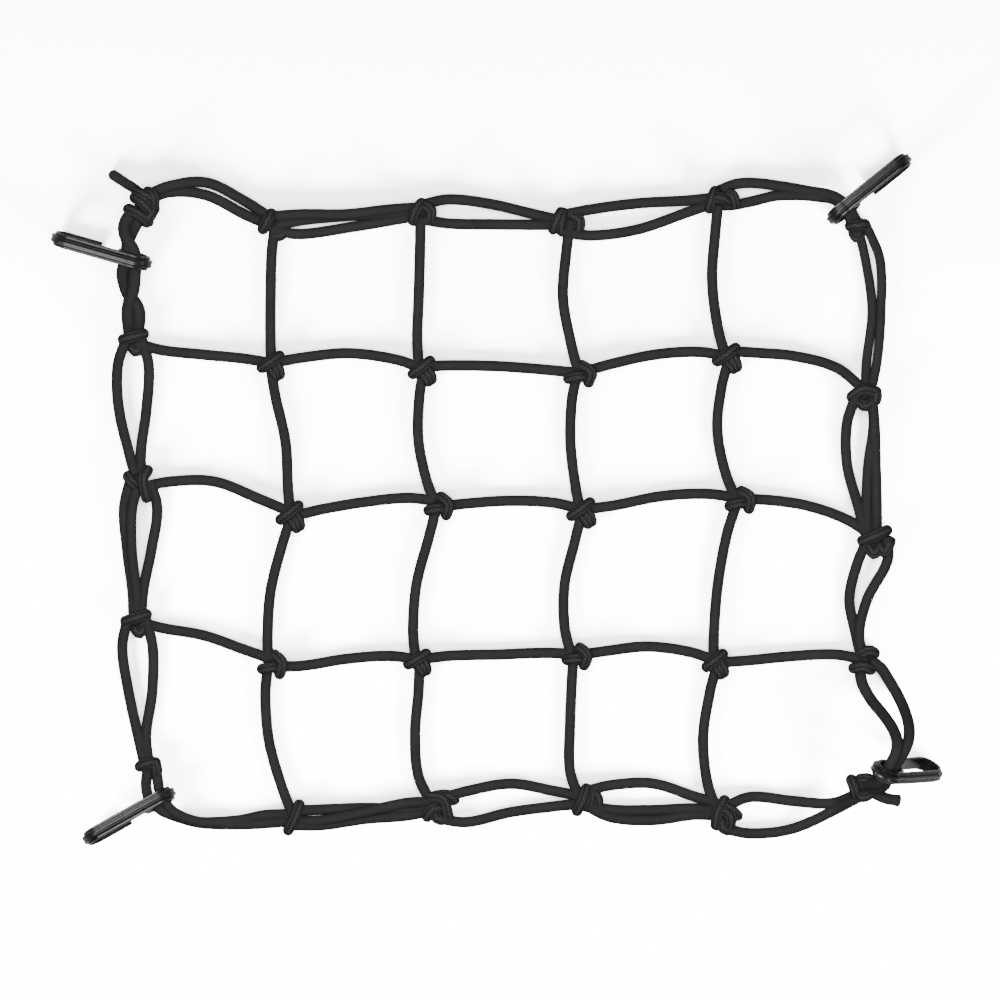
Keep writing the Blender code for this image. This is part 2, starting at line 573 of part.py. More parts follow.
def band(mesh, line, closed):
    """Sweeps the section of a hook along a line in its plane; the outside is on the left."""
    count = len(line)
    rings = []
    for i, (x, y) in enumerate(line):
        if closed:
            before, after = line[i - 1], line[(i + 1) % count]
        else:
            before, after = line[max(i - 1, 0)], line[min(i + 1, count - 1)]
        step = Vector((after[0] - before[0], after[1] - before[1])).normalized()
        out = Vector((-step.y, step.x))
        ring = []
        for side, up in band_outline():
            ring.append(mesh.verts.new(Vector((x + out.x * up, side, y + out.y * up)) * MM))
        rings.append(ring)
    pairs = list(zip(rings, rings[1:]))
    if closed:
        pairs.append((rings[-1], rings[0]))
    for a, b in pairs:
        for k in range(8):
            mesh.faces.new((a[k], a[(k + 1) % 8], b[(k + 1) % 8], b[k]))
    if not closed:
        for ring in (rings[0], rings[-1]):
            mesh.faces.new((ring[0], ring[1], ring[2], ring[3], ring[6], ring[7]))
            mesh.faces.new((ring[3], ring[4], ring[5], ring[6]))


def hook_place(x, y, turn, lean, slope, height):
    """From the hook's own plane to its place on the floor."""
    return (
        Matrix.Translation(Vector((x, y, height)) * MM)
        @ Matrix.Rotation(math.radians(turn), 4, "Z")
        @ Matrix.Rotation(math.radians(slope), 4, "Y")
        @ Matrix.Rotation(math.radians(lean), 4, "X")
    )


def make_hook(row, material):
    name, *place = row
    open_line, eye = hook_lines()
    pieces = [
        closed_mesh(name + "_bend", lambda mesh: band(mesh, open_line, False)),
        closed_mesh(name + "_eye", lambda mesh: band(mesh, list(reversed(eye)), True)),
    ]
    hook = fuse(name, pieces, material)
    hook.data.transform(hook_place(*place))
    shade(hook, 35)
    return hook


def centre_over_origin(items):
    """Moves the whole object so that it is centred over the origin; it already rests at zero."""
    corners = [vertex.co for item in items for vertex in item.data.vertices]
    low = Vector([min(co[axis] for co in corners) for axis in range(3)])
    high = Vector([max(co[axis] for co in corners) for axis in range(3)])
    shift = Vector((-(low.x + high.x) / 2, -(low.y + high.y) / 2, 0.0))
    for item in items:
        item.data.transform(Matrix.Translation(shift))


def build():
    clear_scene()
    cord_cover = plastic("braided_cord_cover", (0.022, 0.021, 0.023), 0.7, 0.0)
    moulding = plastic("black_moulding", (0.018, 0.018, 0.02), 0.28, 0.0)
    net = fuse("net", net_pieces(), cord_cover, NET_FACETS)
    shade(net, 75)
    hooks = [make_hook(row, moulding) for row in HOOKS]
    centre_over_origin([net, *hooks])


build()
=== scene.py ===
"""Looks of an elastic cargo net: braided shock cord, wrapped knots and four moulded hooks."""

import json
import math

import bpy
from bpy.props import FloatProperty, FloatVectorProperty, PointerProperty
from mathutils import Matrix, Vector

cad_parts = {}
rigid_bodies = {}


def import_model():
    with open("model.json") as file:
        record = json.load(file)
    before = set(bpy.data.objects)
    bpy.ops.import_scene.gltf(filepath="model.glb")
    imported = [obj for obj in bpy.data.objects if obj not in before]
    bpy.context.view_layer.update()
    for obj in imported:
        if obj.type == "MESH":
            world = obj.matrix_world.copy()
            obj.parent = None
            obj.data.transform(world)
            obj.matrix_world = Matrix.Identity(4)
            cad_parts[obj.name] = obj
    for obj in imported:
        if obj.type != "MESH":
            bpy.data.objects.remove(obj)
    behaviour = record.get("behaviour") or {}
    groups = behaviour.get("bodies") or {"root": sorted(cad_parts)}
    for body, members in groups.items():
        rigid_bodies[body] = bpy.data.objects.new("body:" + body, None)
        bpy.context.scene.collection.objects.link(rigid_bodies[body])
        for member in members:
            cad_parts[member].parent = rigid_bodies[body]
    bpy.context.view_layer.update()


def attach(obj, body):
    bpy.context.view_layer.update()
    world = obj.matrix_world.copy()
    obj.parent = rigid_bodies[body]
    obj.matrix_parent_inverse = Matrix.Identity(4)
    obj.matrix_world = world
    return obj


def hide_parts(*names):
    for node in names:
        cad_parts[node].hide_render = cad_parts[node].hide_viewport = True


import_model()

bl_info = {
    "name": "Cargo Net",
    "version": (1, 0, 0),
    "blender": (4, 5, 0),
    "location": "3D Viewport > Sidebar > Cargo Net",
    "description": "Builds a knotted elastic cargo net with moulded hooks, lying on a pale floor",
    "category": "Object",
}

MM = 0.001
SHIFT = Vector((-0.395, -0.016, 0.0))   # from the tables' origin to the frame's, mm
MERGE = 2e-6                            # points nearer to each other than this become one, m
KNOT_LEVEL = 6.5                        # height of the cords where they run into a knot, mm
TURN_LOW = 3.2                          # height at which a turn of a knot goes under, mm
TURN_SWELL = 1.1                        # how far a turn bulges outwards on its way up and down
TURN_WAIST = 0.52                       # height of that bulge, as a share of lowest plus highest
TURN_THICKNESS = 1.04                   # thickness of a turn against the cord
TURN_STEP = 0.4                         # length of a turn's sections against the cord's
PACKED_SIZE = (4.9, 4.9, 4.6)           # half sizes of the cord packed inside a knot, mm
STRANDS_AROUND = 8.0                    # strands of the cover that lie each way round the cord
HOOK_LENGTH = 57.6                      # from the end of the eye to the outside of the bend, mm
HOOK_INSIDE = 1.4                       # middle line of the band to its inside, mm
HOOK_FLANGE = 0.4                       # middle line to the outside of the side flanges, mm
HOOK_RIB = 2.2                          # middle line to the top of the rib, mm
HOOK_SOFT = 0.45                        # how far the band's edges are cut back, mm
HOOK_GROOVE = 0.32                      # depth of the grooves beside the rib and along it, mm
BEND_RADIUS = 7.2                       # radius of the bend's middle line, mm
BEND_PIECES = 32                        # straight pieces that make up the bend
ARM_LENGTH = 28.0                       # from the outside of the bend to the end of the arm, mm
EYE_HALF_LENGTH = 8.8                   # half the eye's middle line, along the hook, mm
EYE_HALF_HEIGHT = 7.0                   # half the eye's middle line, across the hook, mm
EYE_DROP = 0.2                          # how far the eye sits towards the arm's side, mm
EYE_PIECES = 56                         # straight pieces that make up the eye

# Knot, x and y of its middle, its turns, how far they are turned, widened and lengthened, and
# how far the knot is held up off the floor, mm.
KNOTS = (
    ("TL", -194.0, 162.0, "corner_tl", 0, 1.0, 1.0, 0.0),
    ("T1", -124.0, 152.5, "top_1", 0, 1.0, 1.0, 0.0),
    ("T2", -41.0, 158.0, "top_2", 0, 1.0, 1.0, 0.0),
    ("T3", 35.0, 153.5, "top_3", 0, 1.0, 1.0, 0.0),
    ("T4", 121.5, 165.0, "top_4", 0, 1.0, 1.0, 0.0),
    ("TR", 198.5, 150.5, "corner_tr", 0, 1.0, 1.0, 0.0),
    ("L1", -199.0, 89.0, "band", 10, 1.0, 1.0, 0.0),
    ("M11", -123.0, 73.5, "slant", -4, 0.95, 1.0, 0.0),
    ("M12", -40.0, 70.5, "slant", 0, 0.97, 1.0, 0.0),
    ("M13", 46.0, 69.0, "curl", 2, 1.15, 0.95, 0.0),
    ("M14", 127.5, 77.5, "slant", 0, 1.03, 1.02, 0.0),
    ("R1", 203.0, 57.5, "right_1", 0, 1.0, 1.0, 0.0),
    ("L2", -196.5, 10.5, "left_2", 0, 1.0, 1.0, 0.0),
    ("M21", -112.5, -9.5, "slant", 0, 1.0, 1.1, 0.0),
    ("M22", -31.5, -3.5, "curl", 0, 1.0, 1.0, 0.0),
    ("M23", 47.5, -7.5, "slant", 0, 1.05, 1.05, 0.0),
    ("M24", 134.0, -0.5, "curl", 6, 1.08, 1.0, 0.0),
    ("R2", 208.0, -20.5, "right_2", 0, 1.0, 1.0, 0.0),
    ("L3", -197.5, -65.4, "band", 12, 1.05, 1.05, 0.0),
    ("M31", -123.0, -90.5, "curl", 0, 1.0, 1.08, 0.0),
    ("M32", -42.5, -89.5, "slant", -4, 0.95, 0.9, 0.0),
    ("M33", 44.5, -86.0, "curl", -3, 1.0, 0.95, 0.0),
    ("M34", 121.0, -90.5, "slant", 0, 0.9, 1.0, 0.0),
    ("R3", 202.5, -88.0, "right_3", 0, 1.0, 1.0, 0.0),
    ("BL", -190.5, -146.0, "corner_bl", 0, 1.0, 1.0, 0.0),
    ("B1", -111.0, -175.0, "bottom_1", 0, 1.0, 1.0, 0.0),
    ("B2", -32.5, -168.0, "bottom_2", 0, 1.0, 1.0, 0.0),
    ("B3", 48.0, -164.5, "bottom_3", 0, 1.0, 1.0, 0.0),
    ("B4", 124.5, -172.0, "bottom_4", 0, 1.0, 1.0, 0.0),
    ("BR", 200.8, -156.5, "corner_br", 0, 1.0, 1.0, 15.0),
)

# The turns of cord that show on each knot: start x, y; over x, y; end x, y from the middle of the
# knot; height of the turn where it passes over.
TURNS = {
    "slant": (
        (-5.2, -1.2, -1.2, 1.8, 3.4, 5.0, 11.0),
        (-0.8, -0.6, 1.8, -3.4, 2.6, -5.0, 8.6),
        (1.6, 1.2, 4.0, -1.6, 4.3, -4.0, 9.2),
    ),
    "curl": (
        (-4.9, -2.2, -1.8, -1.6, 1.4, -1.4, 11.0),
        (1.4, 4.4, 5.6, 0.9, 3.9, -4.4, 9.5),
    ),
    "band": (
        (-5.3, 0.0, 0.0, 0.6, 5.0, 1.0, 10.5),
        (-1.6, -4.8, 0.0, -8.0, 1.6, -4.8, 5.5),
    ),
    "corner_tl": (
        (2.6, 6.4, 6.2, 4.6, 5.4, -2.0, 10.5),
        (-3.8, 3.4, 0.6, 0.4, 3.6, -3.4, 13.0),
        (-3.0, 6.4, 1.0, 4.8, 4.6, 1.6, 12.5),
        (-7.2, -2.4, -2.6, -5.2, 2.6, -8.4, 11.0),
        (5.8, -2.0, 4.6, -5.6, 1.8, -8.8, 10.0),
    ),
    "top_1": (
        (-3.6, -3.4, -1.6, 0.6, 0.4, 4.0, 11.0),
        (2.4, -6.6, 5.4, -7.4, 7.2, -4.6, 5.0),
    ),
    "top_2": (
        (-4.2, -4.2, -3.4, 0.4, 0.0, 4.3, 10.5),
        (0.6, 3.4, 5.2, 1.2, 4.4, -3.6, 9.5),
    ),
    "top_3": (
        (-3.2, -4.4, -1.6, 0.0, 0.6, 3.8, 10.5),
        (0.2, -4.6, 0.8, 0.0, 1.8, 3.4, 9.5),
        (6.0, 2.0, 10.8, 0.2, 9.6, -4.4, 6.5),
    ),
    "top_4": (
        (-3.9, -4.4, -3.0, 0.0, -1.2, 3.9, 10.0),
        (-1.5, 0.4, 2.0, 0.8, 4.6, -0.8, 11.0),
        (4.2, 2.8, 8.4, 2.2, 9.2, -2.2, 7.5),
    ),
    "corner_tr": (
        (-3.4, -0.2, 0.0, 0.4, 3.6, 0.8, 10.5),
        (-1.8, -3.6, -0.4, -6.6, 1.6, -3.8, 6.5),
    ),
    "right_1": (
        (-6.8, -0.9, -1.6, 3.0, 5.2, 1.6, 10.0),
        (-2.6, -3.6, -0.4, -6.2, 2.6, -3.2, 8.0),
        (5.4, 1.6, 6.0, -0.4, 5.2, -2.6, 8.0),
    ),
    "left_2": (
        (-5.2, 2.0, -4.2, -0.4, -1.4, -2.6, 10.0),
        (4.6, 5.0, 2.6, 0.6, 4.2, -8.4, 10.5),
    ),
    "right_2": (
        (-6.0, -1.8, 0.0, 0.6, 6.0, 3.2, 11.0),
        (-2.6, -5.6, -0.5, -9.5, 1.6, -6.0, 7.5),
        (2.6, -4.6, 5.5, -8.5, 8.0, -2.4, 6.5),
    ),
    "right_3": (
        (-1.8, 2.6, 2.6, 5.0, 5.0, 3.4, 9.5),
        (-5.4, -4.2, -1.0, -3.6, 2.8, -5.0, 10.5),
    ),
    "corner_bl": (
        (-4.6, -0.6, -1.0, 1.2, 3.0, 1.4, 10.0),
        (1.6, 1.6, 4.0, -0.6, 3.6, -5.0, 9.0),
    ),
    "bottom_1": (
        (-2.8, -5.9, 0.6, 0.4, 2.6, 6.6, 10.5),
    ),
    "bottom_2": (
        (-3.4, 4.2, 3.4, 3.4, 5.6, -5.2, 10.0),
        (-4.8, -5.6, -2.6, -2.0, 1.6, -1.4, 10.5),
        (-1.0, 4.6, 5.8, 5.6, 8.6, 2.8, 6.5),
        (-0.2, -2.0, -0.9, -6.2, 2.2, -7.4, 7.0),
    ),
    "bottom_3": (
        (-3.2, -5.9, -0.4, -0.4, 1.4, 5.1, 10.5),
        (1.8, -3.8, 3.6, 0.6, 2.6, 4.6, 8.0),
        (4.2, 3.0, 7.6, 1.0, 7.2, -2.6, 6.5),
    ),
    "bottom_4": (
        (-3.4, -6.2, -2.8, 0.0, 0.8, 6.0, 10.0),
        (0.4, 3.0, 4.2, 1.8, 7.4, -1.4, 9.0),
        (0.6, 0.6, 4.4, -2.0, 3.6, -6.2, 11.0),
        (0.2, -2.8, -0.8, -7.4, 2.4, -8.8, 7.5),
    ),
    "corner_br": (
        (-5.6, 2.6, -4.8, -0.8, -3.2, -4.6, 10.5),
        (-2.0, -4.0, 0.4, -6.5, 3.6, -4.4, 8.0),
        (-1.0, 3.0, 3.2, 3.6, 5.6, 1.0, 10.5),
    ),
}

# One run of cord between two knots: how far it lies to the side of the straight line between
# them (up for a run across, right for a run down) at its start, 1/5, 1/2, 4/5 and end.
MESH = (
    ("T1", "M11", 3.0, 0.6, -0.4, -0.8, -0.5),
    ("M11", "M21", -1.0, -0.4, 2.0, 0.2, -0.5),
    ("M21", "M31", 0.0, -3.2, -6.1, -4.7, -2.0),
    ("M31", "B1", -2.2, -6.2, -7.8, -4.3, 0.0),
    ("T2", "M12", -0.5, -0.9, -1.9, -3.1, -2.2),
    ("M12", "M22", 0.0, -3.9, -7.0, -5.2, -1.4),
    ("M22", "M32", -1.0, -3.2, -6.7, -5.3, -1.4),
    ("M32", "B2", 0.5, -2.1, -7.0, -8.1, -2.2),
    ("T3", "M13", 6.0, 1.5, -3.7, -2.6, -0.5),
    ("M13", "M23", -1.5, -4.7, -5.8, -3.6, -1.0),
    ("M23", "M33", -0.5, -3.6, -8.3, -7.4, -3.0),
    ("M33", "B3", -2.0, -3.6, -5.6, -6.7, -2.2),
    ("T4", "M14", 0.8, -2.1, -5.7, -4.5, -1.0),
    ("M14", "M24", 0.5, -4.8, -9.1, -6.7, -1.8),
    ("M24", "M34", -1.0, -4.3, -5.4, -3.8, -1.4),
    ("M34", "B4", 0.5, -4.3, -8.9, -7.6, -2.8),
    ("L1", "M11", -2.5, -3.8, -1.6, 0.8, 1.4),
    ("M11", "M12", 1.5, 5.1, 8.4, 6.2, 1.6),
    ("M12", "M13", 2.7, 3.5, 3.4, 1.9, 0.5),
    ("M13", "M14", 0.5, 3.5, 6.3, 5.4, 1.0),
    ("M14", "R1", 4.0, 7.2, 11.1, 10.6, 2.2),
    ("L2", "M21", -4.5, 3.3, 9.3, 5.5, 2.5),
    ("M21", "M22", 0.0, 2.8, 5.1, 5.6, 2.2),
    ("M22", "M23", -0.5, 2.1, 4.8, 4.9, 2.0),
    ("M23", "M24", 2.0, 2.8, 5.8, 5.0, 1.0),
    ("M24", "R2", 0.5, 4.3, 7.1, 5.3, -0.5),
    ("L3", "M31", -1.5, -0.4, 3.1, 2.8, 2.7),
    ("M31", "M32", -1.0, -1.2, 2.3, 3.7, 1.5),
    ("M32", "M33", 1.5, 2.9, 2.5, 2.4, 1.0),
    ("M33", "M34", 0.5, 3.5, 7.4, 6.0, 2.0),
    ("M34", "R3", 1.0, 1.4, 3.0, 3.3, 0.0),
)

# The doubled border: as above, then how far the run is lifted at 1/5, 1/2 and 4/5.
BORDER = (
    ("TL", "T1", 4.0, 12.0, 17.0, 9.6, 2.5, 3.6, 0.0, 0.0),
    ("TL", "T1", 1.0, 8.8, 9.9, 2.2, -2.0, 0.0, 0.0, 0.0),
    ("T1", "T2", 3.0, 3.1, 1.5, 2.6, 2.5, 2.5, 2.5, 2.0),
    ("T1", "T2", -2.7, -0.2, 0.6, 0.3, 0.0, 0.0, 0.0, 0.0),
    ("T1", "T2", -4.5, -7.7, -6.0, -3.5, -1.5, 0.0, 0.0, 0.0),
    ("T2", "T3", 4.0, 7.9, 6.7, 2.7, 0.0, 0.0, 0.0, 0.0),
    ("T2", "T3", -4.0, -5.4, -4.5, -3.4, -2.5, 0.0, 0.0, 0.0),
    ("T3", "T4", 2.5, 3.7, 3.6, 1.6, 1.0, 0.0, 0.0, 0.0),
    ("T3", "T4", -6.0, -10.7, -10.7, -5.2, -1.5, 0.0, 0.0, 0.0),
    ("L1", "L2", -4.0, -9.5, -9.6, -4.9, -1.0, 0.0, 0.0, 0.0),
    ("L1", "L2", 4.0, 7.6, 5.6, 1.8, 1.5, 0.0, 0.0, 0.0),
    ("L2", "L3", -4.5, -7.8, -5.8, -2.6, -1.5, 0.0, 0.0, 0.0),
    ("L2", "L3", 0.5, -3.3, -3.3, -0.5, 0.5, 2.5, 2.5, 2.0),
    ("L2", "L3", 6.0, 10.5, 7.6, 3.4, 2.5, 0.0, 0.0, 0.0),
    ("L3", "BL", -5.0, -9.4, -8.0, -4.9, -2.5, 0.0, 0.0, 0.0),
    ("L3", "BL", 5.0, 7.4, 5.0, -0.5, 0.0, 0.0, 0.0, 0.0),
    ("B1", "B2", 4.0, 3.2, 1.9, -0.8, -1.0, 0.0, 0.0, 0.0),
    ("B1", "B2", -1.5, -2.8, 0.0, 2.8, 1.5, 2.0, 4.3, 3.0),
    ("B1", "B2", -4.0, -5.4, -4.1, -4.3, -2.0, 0.0, 0.0, 0.0),
    ("B2", "B3", 3.0, 6.9, 10.0, 5.0, 1.0, 0.0, 0.0, 0.0),
    ("B2", "B3", -7.0, -10.1, -5.7, -3.5, -2.5, 0.0, 0.0, 0.0),
    ("B3", "B4", 3.8, 9.0, 12.1, 7.2, 4.0, 0.0, 0.0, 0.0),
    ("B3", "B4", -2.5, -4.5, -2.5, 0.6, 0.0, 0.0, 0.0, 0.0),
    ("B3", "B4", -3.0, -8.7, -8.0, -2.8, -1.5, 0.0, 0.0, 0.0),
    ("B4", "BR", 2.5, 5.4, -1.4, -7.0, -3.0, 0.0, 0.0, 4.5),
    ("B4", "BR", -8.5, -14.7, -16.8, -11.2, -5.5, 0.0, 0.0, 4.5),
    ("TR", "R1", 0.0, 3.7, 6.0, 1.6, -0.3, 0.0, 0.0, 0.0),
    ("TR", "R1", 5.0, 11.7, 10.9, 7.4, 2.5, 0.0, 0.0, 0.0),
    ("R1", "R2", -5.0, -11.1, -12.4, -7.6, -4.5, 0.0, 0.0, 0.0),
    ("R1", "R2", 3.0, 3.7, -0.8, -3.3, -3.0, 0.0, 0.0, 0.0),
    ("R1", "R2", 3.5, 3.9, 3.2, 2.3, 1.0, 3.4, 0.0, 0.0),
    ("R2", "R3", -3.0, -7.9, -11.0, -5.7, -1.5, 0.0, 0.0, 0.0),
    ("R2", "R3", 7.0, 8.2, -0.9, -4.2, 0.0, 0.0, 0.0, 3.6),
)

# Border runs that are pulled thin, and their thickness against the cord.
THIN_RUNS = {("TR", "R1"): 0.9}

# Runs that turn a corner: x, y and height of each point of the middle line.
CORNERS = (
    ((123, 170, 6.5), (132, 173.5, 2.6), (142, 174, 2.4), (158, 172, 3.2), (172, 169.5, 6.0),
     (184.8, 166.9, 8.8), (193.4, 161, 8.8), (198.5, 152, 6.5)),
    ((124, 161.5, 6.5), (131, 162, 2.6), (141, 164, 2.4), (154, 167, 2.4), (166, 167.3, 4.0),
     (176, 166.4, 7.4), (186.2, 164.6, 7.5), (191.5, 159.1, 9.2), (196.5, 150.5, 6.5)),
    ((-199.6, 158, 7.5), (-203.4, 152.8, 8), (-204.2, 147.9, 9.6), (-202.4, 142.6, 10.8),
     (-199.0, 136.2, 9.8), (-197.9, 130, 9.6), (-198.5, 124, 8.6), (-198.8, 118.5, 7.8),
     (-199.8, 113.2, 7.4), (-201.8, 107.8, 4.4), (-202.4, 102.5, 2.5), (-202.1, 97.2, 2.6),
     (-201.2, 90.5, 6)),
    ((-194.6, 156, 6), (-198.4, 150.6, 4.4), (-200.6, 146, 5.4), (-202.3, 142, 8.2),
     (-202.3, 137.8, 9.6), (-202.4, 133.4, 9.2), (-204.4, 128.2, 8.2), (-205.2, 122.8, 5.0),
     (-204.0, 117.8, 3.4), (-202.4, 113.4, 2.5), (-199.2, 109.2, 2.5), (-196.6, 104.8, 2.5),
     (-196.1, 99.8, 2.6), (-197.2, 92, 6)),
    ((-191.4, -147.7, 6.5), (-192.3, -157, 5.6), (-190.9, -163.6, 7.6), (-187, -168.2, 8.4),
     (-182, -171.8, 8.0), (-169.4, -176.3, 2.4), (-161, -178, 2.4), (-141, -178.6, 2.4),
     (-127, -178, 2.6), (-113.8, -176.8, 6.3)),
    ((-187.6, -147.7, 6.5), (-186, -153.2, 7.5), (-185.0, -159.1, 8.2), (-182.7, -164.5, 8.4),
     (-179.9, -168.9, 8.8), (-175.8, -172.4, 8.6), (-169.4, -175.5, 6.6), (-161, -177.4, 5.6),
     (-141, -176.3, 2.6), (-127, -173.5, 2.4), (-113.8, -173.0, 6.3)),
    ((201.5, -90.5, 6.5), (200.3, -96, 3.2), (201.8, -102.4, 2.8), (206.4, -110.4, 7.0),
     (212.4, -118.0, 17.0), (217.0, -125.2, 29.5), (219.2, -132.2, 38.6), (218.4, -138.6, 42.4),
     (215.2, -144.9, 42.0), (213.2, -148.8, 40.6), (211.3, -152.6, 39.0), (208.2, -155.4, 33.0),
     (202.4, -156.4, 22.5)),
    ((205.5, -88.5, 6.5), (211.2, -92.2, 4.4), (215.8, -99, 2.8), (219.8, -105.9, 4.6),
     (223.0, -112.5, 10.5), (225.3, -119.6, 20.0), (226.2, -126.4, 29.6), (225.2, -133, 36.0),
     (222.0, -139.4, 38.2), (218.3, -144.9, 37.7), (216.4, -148.7, 36.3), (214.5, -152.5, 34.7),
     (211.6, -157.2, 29.5), (203.6, -158.2, 21.5)),
)

# How much thicker the cord is on each of these runs, where it is slack.
CORNER_SWELL = (1.0, 1.0, 1.2, 1.2, 1.0, 1.0, 1.08, 1.08)

# The two free ends: thickness against the cord, thickness of the tip at five places, and x, y and
# height of each point of the middle line, from the knot outwards.
TAILS = (
    (0.96, (0.88, 0.74, 0.55, 0.34, 0.08),
     ((-194.5, 164, 7.5), (-197, 169.5, 6.0), (-204.5, 174.5, 3.6), (-212.6, 179.9, 2.9))),
    (1.08, (1.02, 1.07, 1.07, 1.0, 0.8),
     ((203.5, -158.8, 20.5), (213, -163.6, 17.5), (221.2, -165.3, 14.5))),
)

# Hook, x and y of the end of its eye, which way it points, the lean of its plane, its slope and
# the height of the end of its eye, mm and degrees.
HOOKS = (
    ("hook_top_left", -188.9, 128.8, 164.2, -9.0, 0.0, 9.58),
    ("hook_top_right", 182.5, 152.5, 38.7, -8.0, 0.0, 9.58),
    ("hook_bottom_left", -176.3, -159.7, 209.3, 9.0, 0.0, 9.58),
    ("hook_bottom_right", 207.8, -149.0, 1.6, 33.5, 53.7, 48.4),
)

# Where along a run the tables above give its places, and into how many pieces a run's middle line
# and each stretch of the other lines are first cut.
PLAN_STOPS = (0.0, 0.2, 0.5, 0.8, 1.0)
RUN_PIECES = 40
CORNER_PIECES = 8
TAIL_PIECES = 6
TURN_PIECES = 7
SHANK_PIECES = 5

# Where along its last step a free end gets a section, so that its tip can be rounded.
TIP_STOPS = (0.35, 0.6, 0.8, 0.93, 1.0)

CAMERA_PLACE = (0.0018, -0.00028, 6.0)
SENSOR_WIDTH = 36.0
DAYLIGHT = 0.12                         # strength of the light from all round
MIDDLE = (0.0, 0.0, 0.0)
WHITE = (1.0, 1.0, 1.0)
WARM_WHITE = (1.0, 1.0, 0.99)
COOL_WHITE = (0.95, 0.96, 1.0)

# Lamp, its place, what it aims at, its size in metres, its power in watts, its colour and the
# group that it lights alone. The bounce lies just off the floor and shines up, as pale paper does.
LAMPS = (
    ("overhead", (0.0, 0.0, 1.6), MIDDLE, 1.2, 26.0, WHITE, "cords"),
    ("hook_light", (-0.28, 0.12, 1.6), MIDDLE, 1.1, 25.0, WHITE, "hooks"),
    ("bounce", (0.0, 0.0, 0.0004), (0.0, 0.0, 1.0), 0.9, 1.5, WHITE, "hooks"),
    ("left_strip", (-1.1, 0.5, 0.9), MIDDLE, 0.25, 2.8, WHITE, ""),
    ("right_strip", (1.0, -0.9, 0.9), MIDDLE, 0.25, 3.4, WHITE, ""),
    ("wash_above", (0.0, 0.2, 2.2), MIDDLE, 3.0, 280.0, COOL_WHITE, "floor"),
    ("wash_left", (-0.75, -0.65, 0.38), (-0.1, 0.0, 0.0), 0.45, 210.0, WARM_WHITE, "floor"),
    ("wash_right", (0.75, -0.65, 0.38), (0.1, 0.0, 0.0), 0.45, 210.0, WARM_WHITE, "floor"),
)


class NetSizes(bpy.types.PropertyGroup):
    """Sizes and colours of the cord."""

    cord: FloatProperty(
        name="Cord", description="Diameter of the shock cord with its fuzzy cover",
        default=6.0 * MM, min=2.0 * MM, max=8.0 * MM, unit="LENGTH",
    )
    step: FloatProperty(
        name="Step", description="Length of cord between two of its sections",
        default=2.2 * MM, min=0.5 * MM, unit="LENGTH",
    )
    braid: FloatProperty(
        name="Braid", description="Length of cord over which the cover's strands cross once",
        default=1.6 * MM, min=0.2 * MM, unit="LENGTH",
    )
    cover: FloatVectorProperty(
        name="Cover", description="Colour of the braided cover",
        default=(0.0266, 0.0252, 0.0253), subtype="COLOR", min=0.0, max=1.0,
    )


class HookSizes(bpy.types.PropertyGroup):
    """Sizes and colours of the hooks."""

    width: FloatProperty(
        name="Width", description="Width of the moulded band",
        default=7.5 * MM, unit="LENGTH",
    )
    rib: FloatProperty(
        name="Rib", description="Width of the raised rib along the outside of the band",
        default=3.8 * MM, unit="LENGTH",
    )
    colour: FloatVectorProperty(
        name="Moulding", description="Colour of the moulded plastic",
        default=(0.016, 0.016, 0.017), subtype="COLOR", min=0.0, max=1.0,
    )


class StageSizes(bpy.types.PropertyGroup):
    """Floor, light and camera."""

    view_width: FloatProperty(
        name="View width", description="Width of floor that the camera sees",
        default=0.55, unit="LENGTH",
    )
    floor: FloatVectorProperty(
        name="Floor", description="Colour of the floor",
        default=(0.90, 0.90, 0.905), subtype="COLOR", min=0.0, max=1.0,
    )


# ---------------------------------------------------------------- materials

class Value:
    """A socket's value, on which arithmetic adds Math nodes."""

    def __init__(self, finish, socket):
        self.finish = finish
        self.socket = socket

    def combine(self, operation, *others):
        """A Math node that works on this value and the others, in that order."""
        return self.finish.node("ShaderNodeMath", {"operation": operation}, (self, *others))

    def __add__(self, other):
        return self.combine("ADD", other)

    def __sub__(self, other):
        return self.combine("SUBTRACT", other)

    def __mul__(self, other):
        return self.combine("MULTIPLY", other)

    def __pow__(self, other):
        return self.combine("POWER", other)

    def __rsub__(self, other):
        return self.finish.node("ShaderNodeMath", {"operation": "SUBTRACT"}, (other, self))

    __radd__ = __add__
    __rmul__ = __mul__

    def fraction(self):
        return self.combine("FRACT")

    def whole(self):
        return self.combine("FLOOR")

    def least(self, other):
        return self.combine("MINIMUM", other)

    def odd(self):
        """One where the whole number is odd and nought where it is even."""
        return self.combine("FLOORED_MODULO", 2.0)

    def bulge(self):
        """Nought at each whole number and one halfway between, rounded as a strand is."""
        return 1.0 - (self.fraction() * 2.0 - 1.0) ** 2.0


